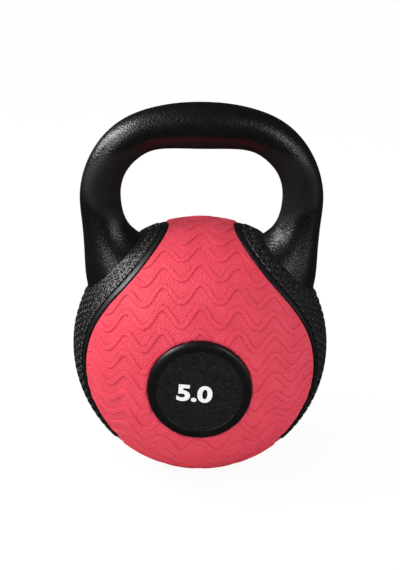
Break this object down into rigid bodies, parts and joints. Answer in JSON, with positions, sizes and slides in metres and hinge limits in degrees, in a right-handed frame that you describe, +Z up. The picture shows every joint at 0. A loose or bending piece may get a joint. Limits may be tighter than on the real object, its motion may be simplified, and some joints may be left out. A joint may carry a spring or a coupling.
{
  "type": "kettlebell",
  "caption": "Ball-shaped hand weight with a closed loop grip, a wave-ribbed coral wrap over a black shell, round end caps and a flat rubber foot, for lifting and swinging exercises",
  "frame": {"origin": "centre of the foot's underside, where the kettlebell stands", "axes": "+Z up through the ball and grip, +X along the grip, the front cap faces -Y"},
  "size_m": [0.17, 0.1622, 0.2394],
  "materials": {
    "wrap": "matte coral rubber with a fine pebble grain",
    "shell": "satin black",
    "grip": "satin black with a fine pebbled skin",
    "inlay": "matte black, textured",
    "cap": "black, smooth ring and grained face",
    "foot": "matte black rubber",
    "steel": "bare steel",
    "filling": "grey cast cement"
  },
  "bodies": {
    "root": {"front_shell": "shell", "rear_shell": "shell", "front_cover": "wrap", "rear_cover": "wrap", "front_cap": "cap", "rear_cap": "cap", "left_side_pad": "inlay", "right_side_pad": "inlay", "handle_grip": "grip", "handle_bar": "steel", "anchor_pins": "steel", "ballast": "filling", "fill_plug": "foot", "base_foot": "foot"}
  },
  "joints": []
}
